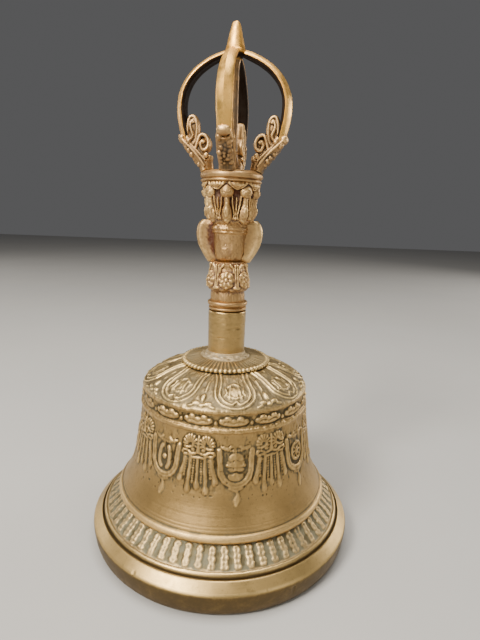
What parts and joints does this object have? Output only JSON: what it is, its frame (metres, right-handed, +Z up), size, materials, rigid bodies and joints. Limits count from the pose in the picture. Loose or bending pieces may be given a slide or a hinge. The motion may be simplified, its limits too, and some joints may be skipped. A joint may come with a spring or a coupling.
{
  "type": "tibetan hand bell",
  "caption": "Cast bronze ritual hand bell with a flared ornamented body, a soldered handle ending in a caged vajra, and a hinged clapper hanging inside.",
  "frame": {"origin": "centre of the mouth rim, on the plane the bell stands on", "axes": "+Z up the handle to the tip of the vajra, -Y towards the viewer, +X to the viewer's right"},
  "size_m": [0.096, 0.096, 0.1775],
  "materials": {
    "bell_bronze": "worn cast bronze, turned bands polished, grey-green patina in the recesses",
    "tube_brass": "plain turned brass with fine lathe lines",
    "handle_bronze": "cast bronze, reddish brown in the recesses, bright on the high spots",
    "vajra_bronze": "hand-polished golden bronze with dark inner faces",
    "solder": "dull whitish soft solder",
    "iron": "dark forged iron"
  },
  "bodies": {
    "bell": {"bell_shell": "bell_bronze", "crown_rosette": "bell_bronze", "solder_fillet": "solder", "handle_tube": "tube_brass", "collar_ring": "handle_bronze", "rosette_knot": "handle_bronze", "head": "handle_bronze", "ear_left": "handle_bronze", "ear_right": "handle_bronze", "lotus_crown": "handle_bronze", "vajra_seat": "handle_bronze", "prong_front": "vajra_bronze", "prong_right": "vajra_bronze", "prong_back": "vajra_bronze", "prong_left": "vajra_bronze", "central_prong": "vajra_bronze", "clapper_staple": "iron"},
    "link": {"clapper_link": "iron"},
    "clapper": {"clapper": "iron"}
  },
  "joints": [
    {"name": "link_swing", "type": "hinge", "parent": "bell", "child": "link", "pos_m": [0, 0, 0.058], "axis": [1, 0, 0], "range_deg": [-22, 22]},
    {"name": "clapper_swing", "type": "hinge", "parent": "link", "child": "clapper", "pos_m": [0, 0, 0.0517], "axis": [0, 1, 0], "range_deg": [-27, 27]}
  ]
}
